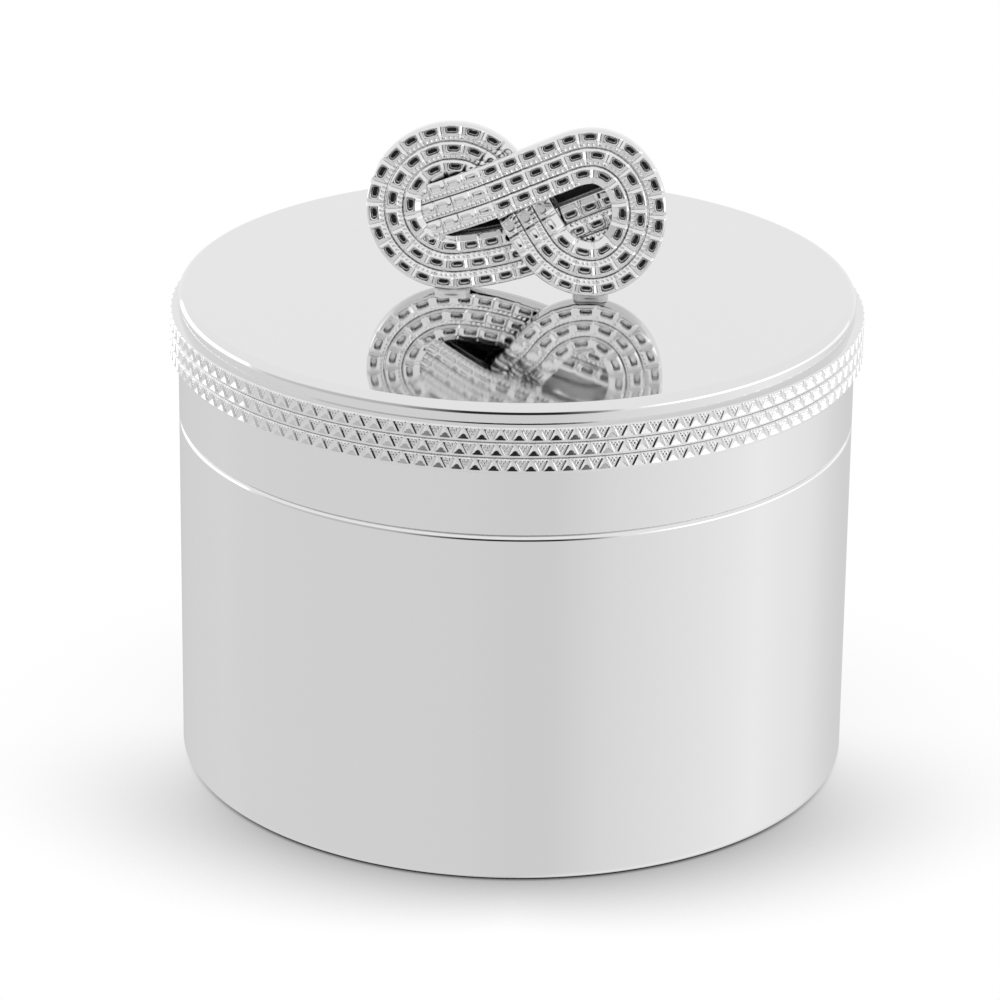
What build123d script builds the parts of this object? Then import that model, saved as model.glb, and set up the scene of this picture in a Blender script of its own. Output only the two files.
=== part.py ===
# Baby tooth box: a round plated metal box with a flush lift-off lid.
# The origin is the centre of the felt underside. Z is up and the camera side of the box is -Y.
from build123d import *
from math import asin, atan2, cos, degrees, floor, pi, radians, sin, tan
import os

os.makedirs("parts", exist_ok=True)

# Box body
box_diameter = 50.0
body_height = 26.85
body_wall = 1.0
base_thickness = 1.2
base_edge_radius = 0.6
mouth_edge_radius = 0.45

# Felt under the base, in a shallow recess, and proud of the metal rim round it
felt_rim_width = 3.5
felt_thickness = 0.8
felt_stand = 0.05
felt_edge_gap = 0.25

# Collar in the mouth of the box, which the skirt of the lid slides over
collar_thickness = 0.6
collar_depth = 4.5
collar_lead = 0.2
collar_clearance = 0.17
collar_head_gap = 0.9

# Linings of the box
wall_velvet_thickness = 0.9
floor_card_thickness = 0.8
floor_velvet_thickness = 1.4
velvet_edge_radius = 0.3
lining_gap = 0.1

# Lid
lid_height = 9.7
lid_top_thickness = 1.1
lid_top_edge_radius = 0.65
skirt_edge_radius = 0.1
seam_gap = 0.0

# Lining of the lid, with holes in the card for the fixings of the knot
lid_card_thickness = 2.6
lid_velvet_thickness = 1.0
lid_lining_gap = 0.3
nut_hole_clearance = 0.5

# Three rings of pyramid wire round the lid
band_drop = 1.42
wire_pitch = 1.145
wire_foot = 0.14
pyramid_stand = 0.46
pyramid_count = 124
wire_gap = 0.02
wire_turn_shares = (-0.34, -0.55, -0.69)

# Solder or glue between two pieces that are fixed to each other
joint_film = 0.02

# Knot: a flat ribbon of three strands that loops twice and crosses itself
lobe_radius = 4.22
lobe_left_reach = 4.35
lobe_right_reach = 3.45
lobe_spacing = 10.15
strand_pitch = 1.34
strand_gap = 0.05
strand_thickness = 1.45
strand_chamfer = 0.3
crossing_gap = 0.06
diagonal_angle = 23.0
last_bend_angle = 9.0
last_bend_radius = 20.0
knot_turn = 2.4
knot_lean = 9.0
knot_right = 0.3
knot_forward = 1.8
knot_clear_height = 0.12

# Plate behind the knot, which closes the middles of its lobes
back_radius = 2.45
back_thickness = 0.5
back_gap = 0.08

# Points of a strand's route, in each arc and each straight stretch
arc_steps = 20
line_steps = 10

# Feet of the knot, with their studs, washers and nuts
foot_width = 2.6
foot_depth = 1.7
foot_corner = 0.8
foot_rise = 1.0
stud_radius = 1.0
stud_hole_clearance = 0.1
stud_end = 0.4
washer_radius = 2.3
washer_thickness = 0.3
nut_across_flats = 4.0
nut_height = 1.6
thread_film = 0.03

# Sizes that follow from those above
outer_radius = box_diameter / 2
inner_radius = outer_radius - body_wall
felt_radius = outer_radius - felt_rim_width
recess_depth = felt_thickness - felt_stand
floor_z = felt_stand + recess_depth + base_thickness
mouth_z = felt_stand + body_height
collar_outer_radius = inner_radius - joint_film
collar_inner_radius = collar_outer_radius - collar_thickness
collar_low_z = mouth_z - collar_depth
skirt_inner_radius = collar_outer_radius + collar_clearance
lid_low_z = mouth_z + seam_gap
lid_top_z = lid_low_z + lid_height
lid_ceiling_z = lid_top_z - lid_top_thickness
lid_lining_radius = skirt_inner_radius - lid_lining_gap
lid_card_low_z = lid_ceiling_z - lid_card_thickness
lid_velvet_low_z = lid_card_low_z - lid_velvet_thickness
collar_top_z = lid_velvet_low_z - collar_head_gap


def save(piece, name):
    """Names a finished piece and writes it."""
    piece.part.label = name
    export_step(piece.part, f"parts/{name}.step")


# Box body: a drawn cup, recessed underneath for the felt
with BuildPart() as box_body:
    with BuildSketch(Plane.XY.offset(felt_stand)):
        Circle(outer_radius)
    extrude(amount=body_height)
    fillet(box_body.edges().group_by(Axis.Z)[0], base_edge_radius)
    fillet(box_body.edges().group_by(Axis.Z)[-1], mouth_edge_radius)
    with BuildSketch(Plane.XY.offset(floor_z)):
        Circle(inner_radius)
    extrude(amount=body_height, mode=Mode.SUBTRACT)
    with BuildSketch(Plane.XY.offset(felt_stand)):
        Circle(felt_radius + felt_edge_gap)
    extrude(amount=recess_depth, mode=Mode.SUBTRACT)
save(box_body, "box_body")

# Felt under the base
with BuildPart() as base_felt:
    with BuildSketch():
        Circle(felt_radius)
    extrude(amount=felt_thickness)
save(base_felt, "base_felt")

# Collar, soldered inside the mouth, with a lead-in at its top
with BuildPart() as box_collar:
    with BuildSketch(Plane.XY.offset(collar_low_z)):
        Circle(collar_outer_radius)
        Circle(collar_inner_radius, mode=Mode.SUBTRACT)
    extrude(amount=collar_top_z - collar_low_z)
    chamfer(box_collar.edges().group_by(Axis.Z)[-1], collar_lead)
save(box_collar, "box_collar")

# Card round the wall, as thick as the collar that stands on it
with BuildPart() as wall_card:
    with BuildSketch(Plane.XY.offset(floor_z)):
        Circle(collar_outer_radius)
        Circle(collar_inner_radius, mode=Mode.SUBTRACT)
    extrude(amount=collar_low_z - floor_z - joint_film)
save(wall_card, "wall_card")

# Velvet on the wall card
wall_velvet_outer = collar_inner_radius - joint_film
wall_velvet_inner = wall_velvet_outer - wall_velvet_thickness
with BuildPart() as wall_velvet:
    with BuildSketch(Plane.XY.offset(floor_z)):
        Circle(wall_velvet_outer)
        Circle(wall_velvet_inner, mode=Mode.SUBTRACT)
    extrude(amount=collar_low_z - floor_z)
    fillet(wall_velvet.edges().group_by(Axis.Z)[-1], velvet_edge_radius)
save(wall_velvet, "wall_velvet")

# Card on the floor
floor_lining_radius = wall_velvet_inner - lining_gap
with BuildPart() as floor_card:
    with BuildSketch(Plane.XY.offset(floor_z)):
        Circle(floor_lining_radius)
    extrude(amount=floor_card_thickness)
save(floor_card, "floor_card")

# Velvet pad on the floor card
floor_velvet_low_z = floor_z + floor_card_thickness
with BuildPart() as floor_velvet:
    with BuildSketch(Plane.XY.offset(floor_velvet_low_z)):
        Circle(floor_lining_radius)
    extrude(amount=floor_velvet_thickness)
    fillet(floor_velvet.edges().group_by(Axis.Z)[-1], velvet_edge_radius)
save(floor_velvet, "floor_velvet")

# Layout of the knot. Its plane is turned a little to the left and leans back a little from its feet
ribbon_width = 3 * strand_pitch
lobe_outer_radius = lobe_radius + ribbon_width / 2
level_front = Vector(-sin(radians(knot_turn)), -cos(radians(knot_turn)), 0)
front = level_front * cos(radians(knot_lean)) + Vector(0, 0, sin(radians(knot_lean)))
rise = Vector(0, 0, cos(radians(knot_lean))) - level_front * sin(radians(knot_lean))
foot_line = Vector(knot_right, -knot_forward, lid_top_z + knot_clear_height)
knot_plane = Plane(origin=foot_line + rise * lobe_outer_radius, x_dir=rise.cross(front), z_dir=front)

# Knot ribbon. It starts behind the left lobe, crosses to the top of the right lobe in front of all else, goes
# round that lobe, rises between the lobes, goes round the left lobe, bends away from it gently, and ends behind
# the right one.
lobe_x = lobe_spacing / 2
rise_angle = degrees(asin(2 * lobe_radius / lobe_spacing))
rise_length = 2 * lobe_radius / tan(radians(rise_angle))
diagonal_offset = lobe_radius - lobe_spacing * sin(radians(diagonal_angle))
diagonal_run = lobe_spacing * cos(radians(diagonal_angle))
first_length = diagonal_run + (lobe_left_reach**2 - diagonal_offset**2) ** 0.5
first_sweep_angle = diagonal_angle + 180 + rise_angle
last_sweep_angle = last_bend_angle + 180 + rise_angle
bend_length = last_bend_radius * radians(diagonal_angle - last_bend_angle)
bend_centre_x = (lobe_radius - last_bend_radius) * sin(radians(last_bend_angle)) - lobe_x
bend_centre_y = (last_bend_radius - lobe_radius) * cos(radians(last_bend_angle))
bend_end_x = bend_centre_x + last_bend_radius * sin(radians(diagonal_angle))
bend_end_y = bend_centre_y - last_bend_radius * cos(radians(diagonal_angle))
last_run = (lobe_x - bend_end_x) * cos(radians(diagonal_angle)) - bend_end_y * sin(radians(diagonal_angle))
last_offset = (lobe_x - bend_end_x) * sin(radians(diagonal_angle)) + bend_end_y * cos(radians(diagonal_angle))
last_length = bend_length + last_run + (lobe_right_reach**2 - last_offset**2) ** 0.5
layer = strand_thickness + crossing_gap

# How far to the front the ribbon lies, in layers, at stations counted in stretches of its route
depth_shares = (
    (0.0, -0.75),
    (0.17, -0.75),
    (0.44, 1.0),
    (1.0, 1.0),
    (1.87, 0.0),
    (3.13, 0.0),
    (3.45, 0.25),
    (3.86, 0.25),
    (4.2, -1.0),
    (5.0, -1.0),
)
last_station = round(depth_shares[-1][0])


def ribbon_depth(station):
    """The height of the ribbon's middle over the knot's plane."""
    for (start, low), (end, high) in zip(depth_shares, depth_shares[1:]):
        if station <= end:
            share = (station - start) / (end - start)
            return layer * (low + (high - low) * (1 - cos(pi * share)) / 2)
    return layer * depth_shares[-1][1]


def ribbon_place(station, offset):
    """A point of the route in the knot's plane, moved to the left of the way it runs."""
    stretch = min(floor(station), last_station - 1)
    share = station - stretch
    if stretch == 0:
        heading = diagonal_angle
        run = first_length * (share - 1)
        x = lobe_x - lobe_radius * sin(radians(heading)) + run * cos(radians(heading))
        y = lobe_radius * cos(radians(heading)) + run * sin(radians(heading))
    elif stretch == 2:
        heading = 180 - rise_angle
        run = rise_length * (share - 0.5)
        x = run * cos(radians(heading))
        y = run * sin(radians(heading))
    elif stretch == 4:
        run = last_length * share
        heading = last_bend_angle + degrees(min(run, bend_length) / last_bend_radius)
        straight = max(run - bend_length, 0)
        x = bend_centre_x + last_bend_radius * sin(radians(heading)) + straight * cos(radians(heading))
        y = bend_centre_y - last_bend_radius * cos(radians(heading)) + straight * sin(radians(heading))
    else:
        side = 1 if stretch == 1 else -1
        angle = 90 + diagonal_angle - first_sweep_angle * share
        if stretch == 3:
            angle = 90 + last_bend_angle - last_sweep_angle * (1 - share)
        across = cos(radians(angle))
        along = sin(radians(angle))
        reach = lobe_radius
        if across > 0:
            reach = lobe_right_reach if side == 1 else lobe_left_reach
        heading = degrees(atan2(-lobe_radius * across, reach * along))
        x = side * (lobe_x + reach * across)
        y = side * lobe_radius * along
    return x - offset * sin(radians(heading)), y + offset * cos(radians(heading))


def strand_points(offset, lift):
    """Points along one strand, lifted to the front by a given height."""
    points = []
    for stretch in range(last_station):
        steps = arc_steps if stretch in (1, 3) else line_steps
        for step in range(steps):
            station = stretch + step / steps
            x, y = ribbon_place(station, offset)
            points.append(knot_plane.from_local_coords(Vector(x, y, ribbon_depth(station) + lift)))
    x, y = ribbon_place(last_station, offset)
    points.append(knot_plane.from_local_coords(Vector(x, y, ribbon_depth(last_station) + lift)))
    return points


# Places of the two feet on the lid, each under the bottom of a lobe and in line with the ribbon there
foot_stations = (3 + (180 + rise_angle) / last_sweep_angle, 1 + (180 + diagonal_angle) / first_sweep_angle)
foot_planes = []
for side, station in zip((-1, 1), foot_stations):
    place = knot_plane.from_local_coords(Vector(side * lobe_x, -lobe_outer_radius, ribbon_depth(station)))
    foot_planes.append(Plane(origin=(place.X, place.Y, lid_top_z), x_dir=knot_plane.x_dir))

# Lid: a drawn cap with a hole for each stud
with BuildPart() as lid_shell:
    with BuildSketch(Plane.XY.offset(lid_low_z)):
        Circle(outer_radius)
    extrude(amount=lid_height)
    fillet(lid_shell.edges().group_by(Axis.Z)[-1], lid_top_edge_radius)
    fillet(lid_shell.edges().group_by(Axis.Z)[0], skirt_edge_radius)
    with BuildSketch(Plane.XY.offset(lid_low_z)):
        Circle(skirt_inner_radius)
    extrude(amount=lid_height - lid_top_thickness, mode=Mode.SUBTRACT)
    with BuildSketch(Plane.XY.offset(lid_ceiling_z)):
        with Locations(*[(plane.origin.X, plane.origin.Y) for plane in foot_planes]):
            Circle(stud_radius + stud_hole_clearance)
    extrude(amount=lid_top_thickness, mode=Mode.SUBTRACT)
save(lid_shell, "lid_shell")

# Pyramid wire: ridges all round, cut down to a roof from both edges, so that each ridge ends as a pyramid
wire_height = wire_pitch - wire_gap
wire_inner_radius = outer_radius + joint_film
wire_root_radius = wire_inner_radius + wire_foot
wire_peak_radius = wire_root_radius + pyramid_stand
pyramid_step = 360 / pyramid_count


def wire_outline(turn):
    """The points of a ring of ridges and valleys, seen from above."""
    points = []
    for index in range(pyramid_count):
        for share, radius in ((0.0, wire_root_radius), (0.5, wire_peak_radius)):
            angle = radians((index + share + turn) * pyramid_step)
            points.append((radius * cos(angle), radius * sin(angle)))
    return points


for name, row, turn in zip(("upper", "middle", "lower"), range(3), wire_turn_shares):
    wire_low_z = lid_top_z - band_drop - (row + 1) * wire_pitch + wire_gap / 2
    wire_mid_z = wire_low_z + wire_height / 2
    wire_top_z = wire_low_z + wire_height
    with BuildPart() as band_wire:
        with BuildSketch(Plane.XY.offset(wire_low_z)):
            Polygon(*wire_outline(turn), align=None)
            Circle(wire_inner_radius, mode=Mode.SUBTRACT)
        extrude(amount=wire_height)
        with BuildSketch(Plane.XZ):
            with BuildLine():
                Polyline(
                    (wire_inner_radius, wire_low_z),
                    (wire_root_radius, wire_low_z),
                    (wire_peak_radius, wire_mid_z),
                    (wire_root_radius, wire_top_z),
                    (wire_inner_radius, wire_top_z),
                    close=True,
                )
            make_face()
        revolve(axis=Axis.Z, mode=Mode.INTERSECT)
    save(band_wire, f"band_wire_{name}")

strand_width = strand_pitch - strand_gap
half_width = strand_width / 2
half_thickness = strand_thickness / 2
strand_outline = (
    (-half_width, -half_thickness),
    (half_width, -half_thickness),
    (half_width, half_thickness - strand_chamfer),
    (half_width - strand_chamfer, half_thickness),
    (strand_chamfer - half_width, half_thickness),
    (-half_width, half_thickness - strand_chamfer),
)
strand_offsets = (strand_pitch, 0, -strand_pitch)
for name, offset in zip("abc", strand_offsets):
    with BuildPart() as knot_strand:
        with BuildLine() as route:
            Spline(*strand_points(offset, 0))
        with BuildLine(mode=Mode.PRIVATE) as guide:
            Spline(*strand_points(offset, strand_thickness))
        along = route.edge() % 0
        with BuildSketch(Plane(origin=route.edge() @ 0, x_dir=along.cross(front), z_dir=along)):
            Polygon(*strand_outline, align=None)
        sweep(path=route.wire(), binormal=guide.edge())
    save(knot_strand, f"knot_strand_{name}")

# Back plate: a slot shape behind the whole ribbon
back_front = ribbon_depth(last_station) - half_thickness - back_gap
with BuildPart() as knot_back:
    with BuildSketch(knot_plane.offset(back_front)):
        SlotCenterToCenter(lobe_spacing, 2 * back_radius)
    extrude(amount=-back_thickness)
save(knot_back, "knot_back")

# Feet: a neck that meets the underside of each lobe, on a stud that goes down through the lid
stud_low_z = lid_ceiling_z - washer_thickness - nut_height - stud_end
with BuildPart() as knot_feet:
    for side, foot_plane in zip((-1, 1), foot_planes):
        with BuildSketch(foot_plane):
            RectangleRounded(foot_width, foot_depth, foot_corner)
        extrude(amount=knot_clear_height + foot_rise)
        with BuildSketch(foot_plane):
            Circle(stud_radius)
        extrude(amount=stud_low_z - lid_top_z)
        with BuildSketch(knot_plane):
            with Locations((side * lobe_x, 0)):
                Circle(lobe_outer_radius)
        extrude(amount=ribbon_width, both=True, mode=Mode.SUBTRACT)
save(knot_feet, "knot_feet")

# Washers under the lid
with BuildPart() as foot_washers:
    with BuildSketch(Plane.XY.offset(lid_ceiling_z - washer_thickness)):
        with Locations(*[(plane.origin.X, plane.origin.Y) for plane in foot_planes]):
            Circle(washer_radius)
            Circle(stud_radius + stud_hole_clearance, mode=Mode.SUBTRACT)
    extrude(amount=washer_thickness)
save(foot_washers, "foot_washers")

# Nuts under the washers
with BuildPart() as foot_nuts:
    with BuildSketch(Plane.XY.offset(lid_ceiling_z - washer_thickness - nut_height)):
        with Locations(*[(plane.origin.X, plane.origin.Y) for plane in foot_planes]):
            RegularPolygon(nut_across_flats / 2, side_count=6, major_radius=False)
            Circle(stud_radius + thread_film, mode=Mode.SUBTRACT)
    extrude(amount=nut_height)
save(foot_nuts, "foot_nuts")

# Card glued under the lid, with a hole round each nut
with BuildPart() as lid_card:
    with BuildSketch(Plane.XY.offset(lid_card_low_z)):
        Circle(lid_lining_radius)
        with Locations(*[(plane.origin.X, plane.origin.Y) for plane in foot_planes]):
            Circle(washer_radius + nut_hole_clearance, mode=Mode.SUBTRACT)
    extrude(amount=lid_card_thickness)
save(lid_card, "lid_card")

# Velvet under the card
with BuildPart() as lid_velvet:
    with BuildSketch(Plane.XY.offset(lid_velvet_low_z)):
        Circle(lid_lining_radius)
    extrude(amount=lid_velvet_thickness)
    fillet(lid_velvet.edges().group_by(Axis.Z)[0], velvet_edge_radius)
save(lid_velvet, "lid_velvet")
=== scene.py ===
"""Looks of a round baby tooth box: a bright plated cup, a flush lift-off lid with three rings of pyramid
wire, and a flat knot of three cast strands as its handle, on a pale studio floor."""
from math import asin, atan2, cos, floor, pi, radians, sin, sqrt, tan

import bmesh
import bpy
from mathutils import Matrix, Vector, noise


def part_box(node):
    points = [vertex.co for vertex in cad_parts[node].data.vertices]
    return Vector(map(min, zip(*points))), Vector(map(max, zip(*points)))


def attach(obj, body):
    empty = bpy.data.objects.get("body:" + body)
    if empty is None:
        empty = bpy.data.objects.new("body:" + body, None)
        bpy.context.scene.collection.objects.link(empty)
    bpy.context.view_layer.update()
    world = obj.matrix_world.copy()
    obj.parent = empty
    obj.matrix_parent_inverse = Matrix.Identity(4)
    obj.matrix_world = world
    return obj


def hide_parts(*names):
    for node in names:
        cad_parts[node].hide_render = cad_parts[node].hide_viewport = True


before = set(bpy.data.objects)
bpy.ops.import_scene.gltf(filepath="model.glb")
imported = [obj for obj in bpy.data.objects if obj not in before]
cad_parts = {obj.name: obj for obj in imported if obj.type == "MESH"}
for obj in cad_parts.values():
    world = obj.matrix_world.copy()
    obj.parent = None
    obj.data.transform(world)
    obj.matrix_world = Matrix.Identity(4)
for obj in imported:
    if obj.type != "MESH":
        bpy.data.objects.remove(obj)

bl_info = {
    "name": "Baby tooth box",
    "version": (1, 0, 0),
    "blender": (4, 5, 0),
    "location": "3D View > Sidebar > Tooth box",
    "description": "Dresses a plated keepsake box with a knot on its lid",
    "category": "Add Mesh",
}

MM = 0.001

# Bodies that the pieces ride on
BOX = "box"
LID = "lid"

# Sizes that come from the frame, in millimetres
LID_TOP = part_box("lid_shell")[1].z / MM
BODY_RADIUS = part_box("box_body")[1].x / MM


def linear(hex_colour):
    """The linear colour of an sRGB hex value."""
    shares = [int(hex_colour[start : start + 2], 16) / 255 for start in (1, 3, 5)]
    curved = [share / 12.92 if share <= 0.04045 else ((share + 0.055) / 1.055) ** 2.4 for share in shares]
    return (*curved, 1.0)


def colour_property(name, description, hex_colour):
    """A colour setting that starts from a hex value."""
    return bpy.props.FloatVectorProperty(
        name=name, description=description, default=linear(hex_colour), size=4, subtype="COLOR", min=0, max=1
    )


def length_property(name, description, millimetres):
    """A length setting, given in millimetres and kept in metres."""
    return bpy.props.FloatProperty(
        name=name, description=description, default=millimetres * MM, unit="LENGTH", subtype="DISTANCE", min=0
    )


class FinishSettings(bpy.types.PropertyGroup):
    """Colours and polish of the finishes"""

    plate: colour_property("Plate", "Colour of the bright plate", "#E6E6E6")
    filed: colour_property("Filed plate", "Colour of the plate on the feet of the knot", "#F5F5F5")
    # Painted shade: the plate is darkened to this colour in the ornament's hollows, and further in its slits
    hollow_shade: colour_property("Hollows", "Colour of the plate deep in the ornament", "#6A6A6B")
    brass: colour_property("Brass", "Colour of the washers and nuts", "#D2B56B")
    card: colour_property("Card", "Colour of the lining card", "#CFC6B4")
    velvet: colour_property("Velvet", "Colour of the lining velvet", "#E6E1D8")
    felt: colour_property("Felt", "Colour of the felt under the base", "#2B2B2D")
    plate_roughness: bpy.props.FloatProperty(
        name="Polish", description="Roughness of the bright plate", default=0.045, min=0, max=1
    )


class BandSettings(bpy.types.PropertyGroup):
    """Sizes of the pyramid wire"""

    cells: bpy.props.IntProperty(name="Pyramids", description="Pyramids in each ring", default=124, min=12)
    foot: length_property("Foot", "Thickness of the wire under its pyramids", 0.14)
    stand: length_property("Stand", "How far the pyramids stand out", 0.46)
    joint: length_property("Joint", "Thickness of the solder under the wire", 0.02)


class KnotSettings(bpy.types.PropertyGroup):
    """Sizes of the knot's strands"""

    link: length_property("Link length", "Length of one link along a strand", 1.53)
    pit: length_property("Pit depth", "Depth of the pit in a link", 0.4)
    notch: length_property("Notch depth", "Depth of the notch between two links", 0.15)
    bead: length_property("Bead height", "Height of the beads between two rows of links", 0.13)


class StageSettings(bpy.types.PropertyGroup):
    """The floor, the light and the camera"""

    floor_colour: colour_property("Floor", "Colour of the floor", "#FFFFFF")
    shadow_reach: length_property("Shadow reach", "How far the shadow of the box spreads", 8.0)
    elevation: bpy.props.FloatProperty(
        name="Elevation",
        description="Height of the camera over the horizon",
        default=radians(22.15),
        unit="ROTATION",
    )


def add_node(tree, kind, settings=None, inputs=None):
    """Adds a node. Settings are its properties, and inputs are values or the sockets that feed it."""
    node = tree.nodes.new(kind)
    for name, value in (settings or {}).items():
        setattr(node, name, value)
    for name, value in (inputs or {}).items():
        if isinstance(value, bpy.types.NodeSocket):
            tree.links.new(value, node.inputs[name])
        else:
            node.inputs[name].default_value = value
    return node


def new_material(name):
    """An empty node material and its output node."""
    material = bpy.data.materials.new(name)
    material.use_nodes = True
    material.node_tree.nodes.clear()
    return material, add_node(material.node_tree, "ShaderNodeOutputMaterial")


def ramp(tree, factor, stops):
    """A colour ramp from a few stops of place and grey level or colour."""
    node = add_node(tree, "ShaderNodeValToRGB", inputs={"Fac": factor})
    band = node.color_ramp
    band.elements[0].position = stops[0][0]
    band.elements[1].position = stops[-1][0]
    for place, _ in stops[1:-1]:
        band.elements.new(place)
    for element, (_, level) in zip(band.elements, stops):
        element.color = level if isinstance(level, tuple) else (level, level, level, 1)
    return node.outputs["Color"]


def summed(tree, operation, first, second=0.0):
    """The result of one sum."""
    return add_node(tree, "ShaderNodeMath", {"operation": operation}, {0: first, 1: second}).outputs[0]


def eased(tree, value, low, high, to_low=0.0, to_high=1.0):
    """From one level at low to another at high, and level outside them."""
    inputs = {"Value": value, "From Min": low, "From Max": high, "To Min": to_low, "To Max": to_high}
    node = add_node(tree, "ShaderNodeMapRange", {"interpolation_type": "SMOOTHSTEP"}, inputs)
    return node.outputs["Result"]


# Soft patches in the gloss of buffed plate: their size in millimetres, the share by which the gloss varies,
# and the part of the noise that the change runs over
PATCH_SIZE = 9.0
PATCH_SPREAD_SHARE = 0.35
PATCH_RANGE = (0.3, 0.7)


def bright_plate(tree, settings):
    """Bright plate on drawn metal, buffed to a mirror. Buffing leaves faint soft patches in its gloss."""
    place = add_node(tree, "ShaderNodeTexCoord").outputs["Object"]
    patch = 1 / (PATCH_SIZE * MM)
    patches = add_node(tree, "ShaderNodeTexNoise", inputs={"Vector": place, "Scale": patch, "Detail": 3.0})
    middle = settings.plate_roughness
    spread = PATCH_SPREAD_SHARE * middle
    gloss = eased(tree, patches.outputs["Fac"], *PATCH_RANGE, middle - spread, middle + spread)
    return {"Base Color": settings.plate, "Metallic": 1.0, "Roughness": gloss}


# Share of its surroundings that cast plate sees from a slit, from hollows, from its open face and from where
# it is dull, how much darker the painted shade in a slit is than in hollows, and how much duller hollows are
# than the face
SLIT_SIGHT = 0.18
HOLLOW_SIGHT = 0.34
OPEN_SIGHT = 0.5
DULL_SIGHT = 0.25
SLIT_SHADE_SHARE = 0.1
DULL_TIMES = 3
SIGHT_SAMPLES = 8


def shaded_cast_plate(tree, settings, reach, only_local):
    """Bright plate on cast metal. Buffing can't get at its hollows, which stay dull; their colour and that of
    the slits is darkened as painted shade where little of the surroundings is in sight. These are found
    within a reach in millimetres, in the piece by itself or under other pieces too."""
    sight = {"samples": SIGHT_SAMPLES, "only_local": only_local}
    shade = add_node(tree, "ShaderNodeAmbientOcclusion", sight, {"Distance": reach * MM}).outputs["AO"]
    # Painted shade: slits darken to a tenth of the hollows' colour, and the open face keeps the plate's
    # colour
    slit_shade = (*[part * SLIT_SHADE_SHARE for part in settings.hollow_shade[:3]], 1.0)
    stops = ((SLIT_SIGHT, slit_shade), (HOLLOW_SIGHT, tuple(settings.hollow_shade)), (OPEN_SIGHT, tuple(settings.plate)))
    dull = DULL_TIMES * settings.plate_roughness
    gloss = eased(tree, shade, DULL_SIGHT, OPEN_SIGHT, dull, settings.plate_roughness)
    return {"Base Color": ramp(tree, shade, stops), "Metallic": 1.0, "Roughness": gloss}


# Marks of the file and of the lathe, in millimetres
STROKE_WIDTH = 0.14
STROKE_LENGTH = 2.5
STROKE_DEPTH = 0.05
TURNING_WIDTH = 0.4
TURNING_DEPTH = 0.02


def filed_plate(tree, settings):
    """Plate on metal that was filed upright and not buffed, satin with fine upright strokes."""
    place = add_node(tree, "ShaderNodeTexCoord").outputs["Object"]
    stroke = (1 / (STROKE_WIDTH * MM), 1 / (STROKE_WIDTH * MM), 1 / (STROKE_LENGTH * MM))
    strokes = add_node(tree, "ShaderNodeMapping", inputs={"Vector": place, "Scale": stroke}).outputs["Vector"]
    marks = add_node(tree, "ShaderNodeTexNoise", inputs={"Vector": strokes, "Scale": 1.0, "Detail": 2.0})
    relief = {"Height": marks.outputs["Fac"], "Strength": 0.6, "Distance": STROKE_DEPTH * MM}
    bump = add_node(tree, "ShaderNodeBump", inputs=relief).outputs["Normal"]
    return {"Base Color": settings.filed, "Metallic": 1.0, "Roughness": 0.6, "Normal": bump}


def turned_brass(tree, settings):
    """Turned brass, a satin yellow with fine turning marks."""
    place = add_node(tree, "ShaderNodeTexCoord").outputs["Object"]
    turning = 1 / (TURNING_WIDTH * MM)
    marks = add_node(tree, "ShaderNodeTexNoise", inputs={"Vector": place, "Scale": turning, "Detail": 4.0})
    relief = {"Height": marks.outputs["Fac"], "Strength": 0.3, "Distance": TURNING_DEPTH * MM}
    bump = add_node(tree, "ShaderNodeBump", inputs=relief).outputs["Normal"]
    return {"Base Color": settings.brass, "Metallic": 1.0, "Roughness": 0.35, "Normal": bump}


# Part of the noise over which fibres go from the colour of their roots to that of their tips
ROOT_NOISE = 0.32
TIP_NOISE = 0.62


def matt_fibres(tree, colour, dark_share, grain, depth, roughness, sheen):
    """A pile or felt with a fine grain, a sheen at its edges, and roots with a share of its colour. The grain
    and its depth are in millimetres."""
    place = add_node(tree, "ShaderNodeTexCoord").outputs["Object"]
    scale = 1 / (grain * MM)
    fibres = add_node(tree, "ShaderNodeTexNoise", inputs={"Vector": place, "Scale": scale, "Detail": 5.0})
    fibres = fibres.outputs["Fac"]
    root = (*[part * dark_share for part in colour[:3]], 1.0)
    tone = ramp(tree, fibres, ((ROOT_NOISE, root), (TIP_NOISE, tuple(colour))))
    relief = {"Height": fibres, "Strength": 0.7, "Distance": depth * MM}
    bump = add_node(tree, "ShaderNodeBump", inputs=relief).outputs["Normal"]
    look = {"Base Color": tone, "Roughness": roughness, "Normal": bump}
    return {**look, "Sheen Weight": sheen, "Sheen Roughness": 0.4}


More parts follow.
